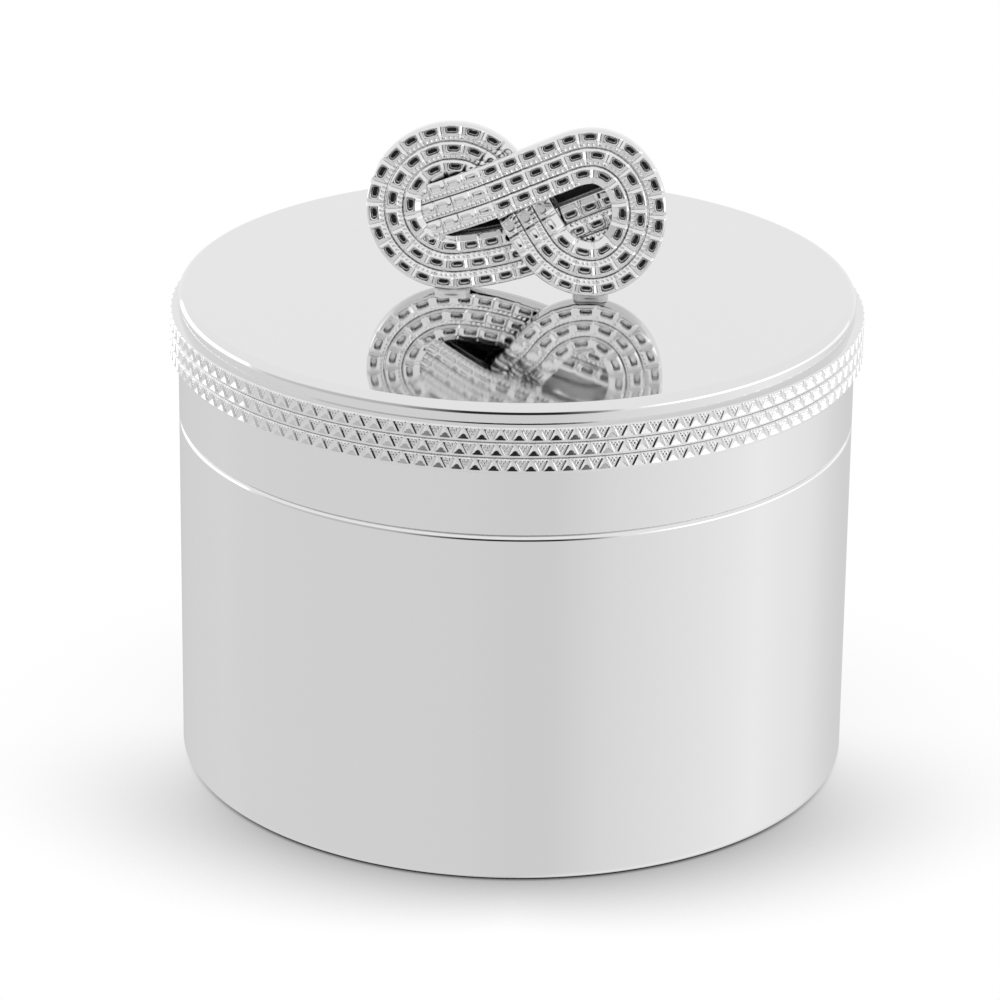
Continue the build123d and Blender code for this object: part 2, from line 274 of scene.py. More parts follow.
def made_material(name):
    """The finish of that name, made the first time it is asked for."""
    found = bpy.data.materials.get(name)
    if found:
        return found
    settings = bpy.context.scene.tooth_box_finish
    material, output = new_material(name)
    tree = material.node_tree
    makers = {
        "bright_plate": lambda: bright_plate(tree, settings),
        # Cast plate with painted shade in its hollows and slits
        "shaded_cast_plate": lambda: shaded_cast_plate(tree, settings, reach=1.0, only_local=True),
        # Plate that other pieces cover, with painted shade wherever they hide it, looked for over a longer
        # reach
        "shaded_covered_plate": lambda: shaded_cast_plate(tree, settings, reach=4.0, only_local=False),
        "filed_plate": lambda: filed_plate(tree, settings),
        "turned_brass": lambda: turned_brass(tree, settings),
        # Grey board with short pressed fibres
        "grey_board": lambda: matt_fibres(
            tree, settings.card, dark_share=0.9, grain=0.8, depth=0.02, roughness=0.9, sheen=0.0
        ),
        # Cotton velvet, whose short pile catches the light at its edges
        "cotton_velvet": lambda: matt_fibres(
            tree, settings.velvet, dark_share=0.8, grain=0.35, depth=0.1, roughness=0.85, sheen=0.7
        ),
        # Wool felt, matted, with a coarser grain than velvet
        "wool_felt": lambda: matt_fibres(
            tree, settings.felt, dark_share=0.75, grain=0.6, depth=0.12, roughness=0.95, sheen=0.3
        ),
    }
    shader = add_node(tree, "ShaderNodeBsdfPrincipled", inputs=makers[name]())
    tree.links.new(shader.outputs[0], output.inputs["Surface"])
    return material


def dress_node(node, material):
    """Gives a node of the frame its finish, in every slot."""
    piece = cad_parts[node]
    if not piece.material_slots:
        piece.data.materials.append(made_material(material))
    for slot in piece.material_slots:
        slot.material = made_material(material)


# How close in millimetres two points of a mesh are when they count as one
SAME_PLACE = 0.001


def grid_piece(name, rows, material, closed_rows, closed_columns=True, caps=False):
    """A smooth mesh from rows of points, in millimetres, with its faces turned outward. Points in one place
    are joined. Rows and columns can close on themselves, and caps fill the first and the last row."""
    width = len(rows[0])
    points = [tuple(value * MM for value in point) for row in rows for point in row]
    faces = []
    for row in range(len(rows) if closed_rows else len(rows) - 1):
        below = row * width
        above = (row + 1) % len(rows) * width
        for column in range(width if closed_columns else width - 1):
            beside = (column + 1) % width
            faces.append((below + column, below + beside, above + beside, above + column))
    if caps:
        faces.append(tuple(range(width))[::-1])
        faces.append(tuple(range((len(rows) - 1) * width, len(rows) * width)))
    mesh = bpy.data.meshes.new(name)
    mesh.from_pydata(points, [], faces)
    shape = bmesh.new()
    shape.from_mesh(mesh)
    bmesh.ops.remove_doubles(shape, verts=shape.verts, dist=SAME_PLACE * MM)
    bmesh.ops.recalc_face_normals(shape, faces=shape.faces)
    shape.to_mesh(mesh)
    shape.free()
    mesh.polygons.foreach_set("use_smooth", [True] * len(mesh.polygons))
    mesh.update()
    piece = bpy.data.objects.new(name, mesh)
    bpy.context.scene.collection.objects.link(piece)
    mesh.materials.append(made_material(material))
    return piece


def smooth_share(value, low, high):
    """From 0 at low to 1 at high, eased at both."""
    share = min(max((value - low) / (high - low), 0.0), 1.0)
    return share * share * (3 - 2 * share)


# Cell of the pyramid wire, in shares of its length, height and stand: a smooth strip, and over it an upright
# triangle with a leaning face, a ridge along both its sides and small beads in the corners beside it. Solder
# shows over the wire and reaches into the wall by so many millimetres.
STRIP_SHARE = 0.2
STRIP_STANDS = ((0.0, 0.6), (0.03, 0.72), (0.08, 0.79), (0.14, 0.8), (0.185, 0.8))
APEX_SHARE = 0.94
BASE_HALF_SHARE = 0.34
APEX_HALF_SHARE = 0.03
RIDGE_SHARE = 0.11
RIDGE_STAND_SHARE = 0.13
LEAN_SHARE = 0.185
LEAN_RISE_SHARE = 0.42
LEAN_INWARD_SHARE = 0.6
FACE_STEPS = 4
VALLEY_SHARE = 0.8
BEAD_SHARE = 0.085
BEAD_STAND_SHARE = 0.28
SOLDER_RISE = 0.06
SOLDER_SINK = 0.1
BEAD_ROWS = ((0.5, (0.0,)), (0.68, (-0.09, 0.09)), (0.86, (-0.2, 0.0, 0.2)))
BEAD_STRETCH = 1.13
TOP_EDGE_SHARE = 0.97
TRIANGLE_ROWS = 12
CORNER_STEPS = 6

# The three rings, with how far each is turned round the lid, in cells
RINGS = (("band_wire_upper", -0.34), ("band_wire_middle", -0.55), ("band_wire_lower", -0.69))


def bead_share(beyond, up):
    """Height of the beads in the corner between two triangles, at a distance from its middle."""
    highest = 0.0
    for row, places in BEAD_ROWS:
        for place in places:
            reach = ((beyond - place) / BEAD_SHARE) ** 2 + ((up - row) / (BEAD_SHARE * BEAD_STRETCH)) ** 2
            highest = max(highest, 1 - reach)
    return sqrt(highest)


def face_share(inward, rise):
    """How far a triangle's face stands out. It leans back from its base, furthest up in its middle."""
    lean = LEAN_RISE_SHARE * min(inward / LEAN_INWARD_SHARE, 1.0)
    return 1 - LEAN_SHARE * min(rise, lean) / LEAN_RISE_SHARE


def cell_row(up):
    """Places along the cell, as shares from its left side, with how far the wire stands out at each."""
    rise = min(max((up - STRIP_SHARE) / (APEX_SHARE - STRIP_SHARE), 0.0), 1.0)
    half = BASE_HALF_SHARE + (APEX_HALF_SHARE - BASE_HALF_SHARE) * rise
    foot = half + RIDGE_SHARE
    left = []
    for step in range(CORNER_STEPS):
        beyond = (0.5 - foot) * step / CORNER_STEPS
        left.append((beyond, VALLEY_SHARE + BEAD_STAND_SHARE * bead_share(beyond, up)))
    left += [(0.5 - foot, VALLEY_SHARE), (0.5 - half - RIDGE_SHARE / 2, 1 + RIDGE_STAND_SHARE)]
    for step in range(FACE_STEPS):
        share = step / FACE_STEPS
        left.append((0.5 - half * (1 - share), face_share(share, rise)))
    right = [(1 - place, stand) for place, stand in reversed(left[1:])]
    return left + [(0.5, face_share(1, rise))] + right


def wire_rows():
    """Heights in the cell, as shares, each with the cell's places and stands there."""
    base = cell_row(STRIP_SHARE)
    rows = [(up, [(place, stand) for place, _ in base]) for up, stand in STRIP_STANDS]
    for step in range(TRIANGLE_ROWS + 1):
        up = STRIP_SHARE + (APEX_SHARE - STRIP_SHARE) * step / TRIANGLE_ROWS
        rows.append((up, cell_row(up)))
    edge = [(place, min(stand, VALLEY_SHARE)) for place, stand in cell_row(TOP_EDGE_SHARE)]
    rows.append((TOP_EDGE_SHARE, edge))
    rows.append((1.0, [(place, STRIP_STANDS[0][1]) for place, _ in cell_row(1.0)]))
    return rows


class ToothBoxWires(bpy.types.Operator):
    """Lays three rings of pyramid wire round the lid"""

    bl_idname = "tooth_box.wires"
    bl_label = "Pyramid wires"

    def execute(self, context):
        settings = context.scene.tooth_box_band
        stand = settings.stand / MM
        root = BODY_RADIUS + (settings.joint + settings.foot) / MM
        back = BODY_RADIUS - SOLDER_SINK
        cell = wire_rows()
        width = len(cell[0][1])
        for node, turn in RINGS:
            low, high = [corner.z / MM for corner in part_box(node)]
            columns = []
            for number in range(settings.cells):
                for column in range(width):
                    points = []
                    for up, places in cell:
                        place, share = places[column]
                        angle = 2 * pi * (number + place + turn) / settings.cells
                        radius = root + stand * share / (1 + RIDGE_STAND_SHARE)
                        points.append((radius * cos(angle), radius * sin(angle), low + (high - low) * up))
                    angle = 2 * pi * (number + cell[0][1][column][0] + turn) / settings.cells
                    for height in (high + SOLDER_RISE, low):
                        points.append((back * cos(angle), back * sin(angle), height))
                    columns.append(points)
            # The wire's finish paints shade in its grooves and corners
            piece = grid_piece(node.replace("band", "pyramid"), columns, "shaded_cast_plate", closed_rows=True)
            self.flatten_facets(piece, width, len(columns[0]))
            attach(piece, LID)
            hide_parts(node)
        return {"FINISHED"}

    def flatten_facets(self, piece, width, height):
        """Shades the triangles and the solder over the wire as flat faces, with sharp edges."""
        first = len(STRIP_STANDS)
        solder = height - 3
        middle = width // 2
        for face in piece.data.polygons:
            column = face.index // height % width
            row = face.index % height
            in_triangle = abs(column + 0.5 - middle) < FACE_STEPS and first <= row < first + TRIANGLE_ROWS
            if in_triangle or row == solder:
                face.use_smooth = False


# Route of the knot's ribbon, in millimetres, with the sizes of the solids. Its last stretch alone runs
# flatter, as in the photograph.
LOBE_RADIUS = 4.22
LOBE_LEFT_REACH = 4.35
LOBE_RIGHT_REACH = 3.45
LOBE_SPACING = 10.15
STRAND_PITCH = 1.34
STRAND_GAP = 0.05
STRAND_THICKNESS = 1.45
CROSSING_GAP = 0.06
DIAGONAL_ANGLE = radians(23.0)
LAST_BEND_ANGLE = radians(5.0)
LAST_BEND_RADIUS = 20.0
KNOT_TURN = radians(2.4)
KNOT_LEAN = radians(9.0)
KNOT_RIGHT = 0.3
KNOT_FORWARD = 1.8
KNOT_CLEAR_HEIGHT = 0.12

# How far to the front the ribbon lies, in layers, at stations counted in stretches of its route
DEPTH_SHARES = (
    (0.0, -0.3),
    (0.04, -0.3),
    (0.55, 1.1),
    (1.0, 1.1),
    (1.95, 0.48),
    (2.12, 0.5),
    (2.55, -0.1),
    (2.8, 0.0),
    (3.6, 0.05),
    (4.2, -0.5),
    (5.0, -0.5),
)
LAST_STATION = 5
ROUTE_STEPS = 600
LOBE_X = LOBE_SPACING / 2
RISE_ANGLE = asin(2 * LOBE_RADIUS / LOBE_SPACING)
RISE_LENGTH = 2 * LOBE_RADIUS / tan(RISE_ANGLE)
DIAGONAL_OFFSET = LOBE_RADIUS - LOBE_SPACING * sin(DIAGONAL_ANGLE)
DIAGONAL_RUN = LOBE_SPACING * cos(DIAGONAL_ANGLE)
FIRST_LENGTH = DIAGONAL_RUN + sqrt(LOBE_LEFT_REACH**2 - DIAGONAL_OFFSET**2)
FIRST_SWEEP_ANGLE = DIAGONAL_ANGLE + pi + RISE_ANGLE
LAST_SWEEP_ANGLE = LAST_BEND_ANGLE + pi + RISE_ANGLE
BEND_LENGTH = LAST_BEND_RADIUS * (DIAGONAL_ANGLE - LAST_BEND_ANGLE)
BEND_CENTRE_X = (LOBE_RADIUS - LAST_BEND_RADIUS) * sin(LAST_BEND_ANGLE) - LOBE_X
BEND_CENTRE_Y = (LAST_BEND_RADIUS - LOBE_RADIUS) * cos(LAST_BEND_ANGLE)
BEND_END_X = BEND_CENTRE_X + LAST_BEND_RADIUS * sin(DIAGONAL_ANGLE)
BEND_END_Y = BEND_CENTRE_Y - LAST_BEND_RADIUS * cos(DIAGONAL_ANGLE)
LAST_RUN = (LOBE_X - BEND_END_X) * cos(DIAGONAL_ANGLE) - BEND_END_Y * sin(DIAGONAL_ANGLE)
LAST_OFFSET = (LOBE_X - BEND_END_X) * sin(DIAGONAL_ANGLE) + BEND_END_Y * cos(DIAGONAL_ANGLE)
LAST_LENGTH = BEND_LENGTH + LAST_RUN + sqrt(LOBE_RIGHT_REACH**2 - LAST_OFFSET**2)

LEVEL_FRONT = Vector((-sin(KNOT_TURN), -cos(KNOT_TURN), 0))
KNOT_FRONT = LEVEL_FRONT * cos(KNOT_LEAN) + Vector((0, 0, sin(KNOT_LEAN)))
KNOT_RISE = Vector((0, 0, cos(KNOT_LEAN))) - LEVEL_FRONT * sin(KNOT_LEAN)
KNOT_ACROSS = KNOT_RISE.cross(KNOT_FRONT)
KNOT_FOOT = Vector((KNOT_RIGHT, -KNOT_FORWARD, LID_TOP + KNOT_CLEAR_HEIGHT))
KNOT_MIDDLE = KNOT_FOOT + KNOT_RISE * (LOBE_RADIUS + 1.5 * STRAND_PITCH)


def ribbon_depth(station):
    """The height of the ribbon's middle over the knot's plane."""
    layer = STRAND_THICKNESS + CROSSING_GAP
    for (start, low), (end, high) in zip(DEPTH_SHARES, DEPTH_SHARES[1:]):
        if station <= end:
            share = (station - start) / (end - start)
            return layer * (low + (high - low) * (1 - cos(pi * share)) / 2)
    return layer * DEPTH_SHARES[-1][1]


def ribbon_place(station, offset):
    """A point of the route in the knot's plane, moved to the left of the way it runs."""
    stretch = min(floor(station), LAST_STATION - 1)
    share = station - stretch
    if stretch == 0:
        heading = DIAGONAL_ANGLE
        run = FIRST_LENGTH * (share - 1)
        x = LOBE_X - LOBE_RADIUS * sin(heading) + run * cos(heading)
        y = LOBE_RADIUS * cos(heading) + run * sin(heading)
    elif stretch == 2:
        heading = pi - RISE_ANGLE
        run = RISE_LENGTH * (share - 0.5)
        x = run * cos(heading)
        y = run * sin(heading)
    elif stretch == 4:
        run = LAST_LENGTH * share
        heading = LAST_BEND_ANGLE + min(run, BEND_LENGTH) / LAST_BEND_RADIUS
        straight = max(run - BEND_LENGTH, 0)
        x = BEND_CENTRE_X + LAST_BEND_RADIUS * sin(heading) + straight * cos(heading)
        y = BEND_CENTRE_Y - LAST_BEND_RADIUS * cos(heading) + straight * sin(heading)
    else:
        side = 1 if stretch == 1 else -1
        angle = pi / 2 + DIAGONAL_ANGLE - FIRST_SWEEP_ANGLE * share
        if stretch == 3:
            angle = pi / 2 + LAST_BEND_ANGLE - LAST_SWEEP_ANGLE * (1 - share)
        across = cos(angle)
        along = sin(angle)
        reach = LOBE_RADIUS
        if across > 0:
            reach = LOBE_RIGHT_REACH if side == 1 else LOBE_LEFT_REACH
        heading = atan2(-LOBE_RADIUS * across, reach * along)
        x = side * (LOBE_X + reach * across)
        y = side * LOBE_RADIUS * along
    return x - offset * sin(heading), y + offset * cos(heading)


def knot_point(station, offset, height):
    """A point at a station of the route, beside and in front of the ribbon's middle."""
    x, y = ribbon_place(station, offset)
    return KNOT_MIDDLE + KNOT_ACROSS * x + KNOT_RISE * y + KNOT_FRONT * (ribbon_depth(station) + height)


def even_stations(offset, step):
    """Stations a step apart along a strand."""
    stations = [LAST_STATION * index / ROUTE_STEPS for index in range(ROUTE_STEPS + 1)]
    places = [knot_point(station, offset, 0) for station in stations]
    lengths = [0.0]
    for first, second in zip(places, places[1:]):
        lengths.append(lengths[-1] + (second - first).length)
    steps = round(lengths[-1] / step)
    found = []
    index = 0
    for number in range(steps + 1):
        wanted = lengths[-1] * number / steps
        while index < ROUTE_STEPS - 1 and lengths[index + 1] < wanted:
            index += 1
        share = (wanted - lengths[index]) / (lengths[index + 1] - lengths[index])
        found.append(stations[index] + share * (stations[index + 1] - stations[index]))
    return found


# Link of a strand: a deep pit with rounded corners, outside the strand's middle, and beads on the other side.
# Shares of the link's half length and of the pit's reach, and places across the strand in millimetres.
LINK_STEPS = 28
ACROSS_STEPS = 26
BACK_STEPS = 8
PIT_SHARE = 0.5
WALL_SHARE = 0.63
NOTCH_SHARE = 0.69
PIT_POWER = 3.5
PIT_PLACE = 0.14
PIT_REACH = 0.42
PIT_TILT = 0.06
PIT_BOWL = 0.22
PIT_UNEVEN_SHARE = 0.05
SIDE_PLACE = 0.31
SIDE_SLOPE = 0.5
BEAD_PLACE = -0.43
BEAD_HALF = 0.19
BEADS_IN_LINK = 4
BEAD_SINK = 0.04
EDGE_ROUND = 0.08
EDGE_DROP = 0.16

# Section of a strand, in millimetres: half its width, the heights of its sides, and how far its back bulges
STRAND_HALF = (STRAND_PITCH - STRAND_GAP) / 2
SIDE_HEIGHTS = (0.2, -0.3, -0.62)
BACK_BULGE = 0.1

# Plate behind the ribbon, soldered to its end, in millimetres, with its edge rounded by steps
PLATE_RADIUS = 3.6
PLATE_ARC_ANGLE = radians(260)
PLATE_THICKNESS = 0.5
PLATE_SINK = 0.05
PLATE_EDGES = ((0.12, 0.0), (0.035, 0.035), (0.0, 0.12))
PLATE_STEPS = 60

# Stations between which the ribbon dives under itself. The pits are shallow there.
DIVES = ((-1.0, 0.5), (2.08, 3.05))
DIVE_EASE = 0.06
SHALLOW_SHARE = 0.3

# Stations between which the pits change sides, to stay outside in both loops, and where the first loop starts
CHANGE_START = 2.42
CHANGE_END = 2.58
LOOP_START = 1


def pit_side(station):
    """Which way the pits lie from a strand's middle: 1 is left of the way it runs."""
    return 1 - 2 * smooth_share(station, CHANGE_START, CHANGE_END)


def pit_depth_share(station):
    """How deep the pits are at a station."""
    share = 1.0
    for start, end in DIVES:
        inside = smooth_share(station, start, start + DIVE_EASE) - smooth_share(station, end, end + DIVE_EASE)
        share -= (1 - SHALLOW_SHARE) * inside
    return share


def link_height(number, along, across, side, depth, beaded, settings):
    """Height of a strand's front at a place in a link. Along and depth are shares, and across is in
    millimetres. The pits differ a little by the number of the link."""
    outward = across * side
    run = abs(2 * along - 1)
    aside = abs(outward - PIT_PLACE)
    reach = (run**PIT_POWER + (aside / PIT_REACH) ** PIT_POWER) ** (1 / PIT_POWER)
    reach *= 1 + PIT_UNEVEN_SHARE * sin(number * number)
    floor_height = PIT_TILT * (outward - PIT_PLACE) + PIT_BOWL * aside * aside
    floor_height -= settings.pit / MM * depth
    pit = floor_height * (1 - smooth_share(reach, PIT_SHARE, WALL_SHARE))
    notch = settings.notch / MM * max(run - NOTCH_SHARE, 0) / (1 - NOTCH_SHARE)
    height = pit - notch - SIDE_SLOPE * max(aside - SIDE_PLACE * depth, 0)
    beside = (outward - BEAD_PLACE) / BEAD_HALF
    if beaded and abs(beside) < 1:
        bead = abs(sin(pi * BEADS_IN_LINK * along)) * sqrt(1 - beside * beside)
        height = max(height, settings.bead / MM * (bead - 1) - BEAD_SINK)
    edge = smooth_share(STRAND_HALF - abs(across), 0.0, EDGE_ROUND)
    return height * edge + min(height, -EDGE_DROP) * (1 - edge)


def strand_section(station, offset, fronts):
    """Points round a strand at a station, from the places across its front and their heights."""
    points = [knot_point(station, offset + across, height) for across, height in fronts]
    points += [knot_point(station, offset - STRAND_HALF, height) for height in SIDE_HEIGHTS]
    for index in range(1, BACK_STEPS):
        across = STRAND_HALF - 2 * STRAND_HALF * index / BACK_STEPS
        bulge = BACK_BULGE * sqrt(1 - (across / STRAND_HALF) ** 2)
        points.append(knot_point(station, offset - across, BACK_BULGE - STRAND_THICKNESS / 2 - bulge))
    points += [knot_point(station, offset + STRAND_HALF, height) for height in reversed(SIDE_HEIGHTS)]
    return points


def plate_outline(inset):
    """Points round the plate behind the knot: arcs about the middles of both loops, with a waist between."""
    radius = PLATE_RADIUS - inset
    points = []
    for side in (1, -1):
        for step in range(PLATE_STEPS + 1):
            angle = PLATE_ARC_ANGLE * (step / PLATE_STEPS - 0.5)
            points.append((side * (LOBE_X + radius * cos(angle)), side * radius * sin(angle)))
    return points


class ToothBoxKnot(bpy.types.Operator):
    """Builds the three strands of the knot, with the links of each, and the plate behind them"""

    bl_idname = "tooth_box.knot"
    bl_label = "Knot"

    def execute(self, context):
        settings = context.scene.tooth_box_knot
        places = [STRAND_HALF - 2 * STRAND_HALF * index / ACROSS_STEPS for index in range(ACROSS_STEPS + 1)]
        for name, strand in zip("abc", (1, 0, -1)):
            offset = STRAND_PITCH * strand
            stations = even_stations(offset, settings.link / MM / LINK_STEPS)
            rows = []
            for number, station in enumerate(stations):
                link, place = divmod(number, LINK_STEPS)
                along = place / LINK_STEPS
                side = pit_side(station)
                middle = min(number - place + LINK_STEPS // 2, len(stations) - 1)
                depth = pit_depth_share(stations[middle])
                # The innermost strand of a loop has a smooth edge instead of beads
                beaded = strand * side > -0.5 or station < LOOP_START
                fronts = []
                for across in places:
                    height = link_height(link, along, across, side, depth, beaded, settings)
                    fronts.append((across, STRAND_THICKNESS / 2 + height))
                rows.append(strand_section(station, offset, fronts))
            # The strand's finish paints shade in its pits and in the slits beside other strands
            piece = grid_piece(f"link_strand_{name}", rows, "shaded_cast_plate", closed_rows=False, caps=True)
            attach(piece, LID)
            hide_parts(f"knot_strand_{name}")
        self.lay_plate()
        return {"FINISHED"}

    def lay_plate(self):
        """Flat plate with rounded edges, right behind the end of the ribbon."""
        front = ribbon_depth(LAST_STATION) - STRAND_THICKNESS / 2 + PLATE_SINK
        edges = [(inset, front - drop) for inset, drop in PLATE_EDGES]
        edges += [(inset, front - PLATE_THICKNESS + drop) for inset, drop in reversed(PLATE_EDGES)]
        rows = []
        for inset, height in edges:
            level = KNOT_MIDDLE + KNOT_FRONT * height
            rows.append([level + KNOT_ACROSS * x + KNOT_RISE * y for x, y in plate_outline(inset)])
        # Its finish paints shade where the strands in front of it hide it
        piece = grid_piece("back_plate", rows, "shaded_covered_plate", closed_rows=False, caps=True)
        for face in piece.data.polygons[-2:]:
            face.use_smooth = False
        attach(piece, LID)
        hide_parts("knot_back")


# Cup and lid, with the sizes of the solids, in millimetres
BASE_EDGE_RADIUS = 0.6
MOUTH_EDGE_RADIUS = 0.45
LID_TOP_EDGE_RADIUS = 0.65
SKIRT_EDGE_RADIUS = 0.1
SHARP_EDGE_RADIUS = 0.05
BODY_WALL = 1.0
SKIRT_INNER_RADIUS = 24.15
LID_TOP_THICKNESS = 1.1
RECESS_RADIUS = 21.75
RECESS_DEPTH = 0.75
BASE_THICKNESS = 1.2
TURN_STEPS = 360
EDGE_STEPS = 8
EDGE_SUPPORT = 0.04


def rounded_profile(corners):
    """Points along a profile from corners given as radius, height and size of their rounding."""
    points = [corners[0][:2]]
    for before, corner, after in zip(corners, corners[1:], corners[2:]):
        middle = Vector(corner[:2])
        first = (Vector(before[:2]) - middle).normalized()
        second = (Vector(after[:2]) - middle).normalized()
        half_angle = first.angle(second) / 2
        inset = corner[2] / tan(half_angle)
        centre = middle + (first + second).normalized() * corner[2] / sin(half_angle)
        start = middle + first * inset - centre
        end = middle + second * inset - centre
        points.append(middle + first * (inset + EDGE_SUPPORT))
        for step in range(EDGE_STEPS + 1):
            share = step / EDGE_STEPS
            spread = start.angle(end)
            way = (start * sin((1 - share) * spread) + end * sin(share * spread)) / sin(spread)
            points.append(centre + way)
        points.append(middle + second * (inset + EDGE_SUPPORT))
    points.append(corners[-1][:2])
    return [(point[0], point[1]) for point in points]


def turned_piece(name, profile, material):
    """A round piece from a profile of radius and height that starts and ends on the axis."""
    rows = []
    for step in range(TURN_STEPS):
        angle = 2 * pi * step / TURN_STEPS
        rows.append([(radius * cos(angle), radius * sin(angle), height) for radius, height in profile])
    return grid_piece(name, rows, material, closed_rows=True, closed_columns=False)


class ToothBoxPlate(bpy.types.Operator):
    """Turns the plated cup and lid, and gives the collar and the feet of the knot their finish"""

    bl_idname = "tooth_box.plate"
    bl_label = "Plated metal"

    def execute(self, context):
        low, high = [corner.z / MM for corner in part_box("box_body")]
        cup = rounded_profile(
            (
                (0, low + RECESS_DEPTH, 0),
                (RECESS_RADIUS, low + RECESS_DEPTH, SHARP_EDGE_RADIUS),
                (RECESS_RADIUS, low, SHARP_EDGE_RADIUS),
                (BODY_RADIUS, low, BASE_EDGE_RADIUS),
                (BODY_RADIUS, high, MOUTH_EDGE_RADIUS),
                (BODY_RADIUS - BODY_WALL, high, SHARP_EDGE_RADIUS),
                (BODY_RADIUS - BODY_WALL, low + RECESS_DEPTH + BASE_THICKNESS, SHARP_EDGE_RADIUS),
                (0, low + RECESS_DEPTH + BASE_THICKNESS, 0),
            )
        )
        low, high = [corner.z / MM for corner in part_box("lid_shell")]
        cap = rounded_profile(
            (
                (0, high - LID_TOP_THICKNESS, 0),
                (SKIRT_INNER_RADIUS, high - LID_TOP_THICKNESS, SHARP_EDGE_RADIUS),
                (SKIRT_INNER_RADIUS, low, SHARP_EDGE_RADIUS),
                (BODY_RADIUS, low, SKIRT_EDGE_RADIUS),
                (BODY_RADIUS, high, LID_TOP_EDGE_RADIUS),
                (0, high, 0),
            )
        )
        for name, profile, node, body in (
            ("drawn_cup", cup, "box_body", BOX),
            ("drawn_cap", cap, "lid_shell", LID),
        ):
            piece = turned_piece(name, profile, "bright_plate")
            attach(piece, body)
            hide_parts(node)
        dress_node("box_collar", "bright_plate")
        dress_node("knot_feet", "filed_plate")
        for node in ("foot_washers", "foot_nuts"):
            dress_node(node, "turned_brass")
        return {"FINISHED"}


# Linings, with the sizes of the solids, in millimetres
PAD_EDGE = 0.7
PAD_CROWN = 0.25
PILE_WAVE = 0.03
PILE_WAVE_LENGTH = 2.5
PAD_RINGS = 40
PAD_TURNS = 200
FELT_EDGE = 0.15
ROLL_STEPS = 8
VELVET_THICKNESS = 0.9
VELVET_SEAM_WIDTH = 0.5
VELVET_SEAM_DEPTH = 0.35
VELVET_SEAM_TURN = 0.31
WALL_TURNS = 400
WALL_ROWS = 30


def pile_wave(x, y, z=0.0):
    """A slight unevenness of a cloth's face."""
    return PILE_WAVE * noise.noise(Vector((x, y, z)) / PILE_WAVE_LENGTH)


def round_pad(name, node, crown, edge, material, facing):
    """A round pad with a crowned face and a rolled edge, where the solid of a node lies."""
    low, high = [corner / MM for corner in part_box(node)]
    radius = high.x
    back, face = (low.z, high.z) if facing > 0 else (high.z, low.z)
    thickness = abs(face - back)
    profile = [(0.0, 0.0)]
    for step in range(1, PAD_RINGS + 1):
        share = step / PAD_RINGS
        # The rings lie evenly up to half of them, and then closer and closer together
        reach = radius * sqrt(1 - (1 - share) ** 2) if share > 0.5 else radius * share * sqrt(3)
        rolled = max(0.0, reach - (radius - edge)) / edge
        drop = crown * (reach / radius) ** 2 + (thickness - crown) * (1 - sqrt(max(0.0, 1 - rolled**2)))
        profile.append((reach, drop))
    rows = []
    for step in range(PAD_TURNS):
        angle = 2 * pi * step / PAD_TURNS
        row = []
        for reach, drop in profile:
            x, y = reach * cos(angle), reach * sin(angle)
            dip = min(drop + PILE_WAVE + pile_wave(x, y), thickness)
            row.append((x, y, face - facing * dip))
        row.append((radius * cos(angle), radius * sin(angle), back))
        row.append((0.0, 0.0, back))
        rows.append(row)
    return grid_piece(name, rows, material, closed_rows=True, closed_columns=False)


class ToothBoxLinings(bpy.types.Operator):
    """Gives the cards their finish, and lays the velvet and the felt"""

    bl_idname = "tooth_box.linings"
    bl_label = "Linings"

    def execute(self, context):
        for node in ("wall_card", "floor_card", "lid_card"):
            dress_node(node, "grey_board")
        for name, node, body, facing in (
            ("floor_pad", "floor_velvet", BOX, 1),
            ("lid_pad", "lid_velvet", LID, -1),
        ):
            piece = round_pad(name, node, PAD_CROWN, PAD_EDGE, "cotton_velvet", facing)
            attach(piece, body)
            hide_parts(node)
        self.line_wall()
        self.lay_felt()
        return {"FINISHED"}

    def line_wall(self):
        """Velvet round the wall, with its rolled top edge and an upright seam."""
        low, high = [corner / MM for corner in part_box("wall_velvet")]
        outer = high.x
        inner = outer - VELVET_THICKNESS
        middle = (outer + inner) / 2
        roll = VELVET_THICKNESS / 2
        rows = []
        for turn in range(WALL_TURNS):
            angle = 2 * pi * turn / WALL_TURNS
            away = abs((turn / WALL_TURNS - VELVET_SEAM_TURN) * 2 * pi * inner)
            seam = VELVET_SEAM_DEPTH * (1 - smooth_share(away, 0.0, VELVET_SEAM_WIDTH))
            row = [(outer, low.z), (outer, high.z - roll)]
            for step in range(1, ROLL_STEPS):
                bend = pi * step / ROLL_STEPS
                row.append((middle + roll * cos(bend), high.z - roll + roll * sin(bend)))
            for step in range(WALL_ROWS + 1):
                height = high.z - roll + (low.z - high.z + roll) * step / WALL_ROWS
                dent = seam + PILE_WAVE + pile_wave(inner * cos(angle), inner * sin(angle), height)
                row.append((inner + dent, height))
            rows.append([(radius * cos(angle), radius * sin(angle), height) for radius, height in row])
        piece = grid_piece("wall_lining", rows, "cotton_velvet", closed_rows=True)
        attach(piece, BOX)
        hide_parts("wall_velvet")

    def lay_felt(self):
        """Felt disc glued in the recess under the base."""
        piece = round_pad("felt_disc", "base_felt", 0.0, FELT_EDGE, "wool_felt", -1)
        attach(piece, BOX)
        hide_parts("base_felt")


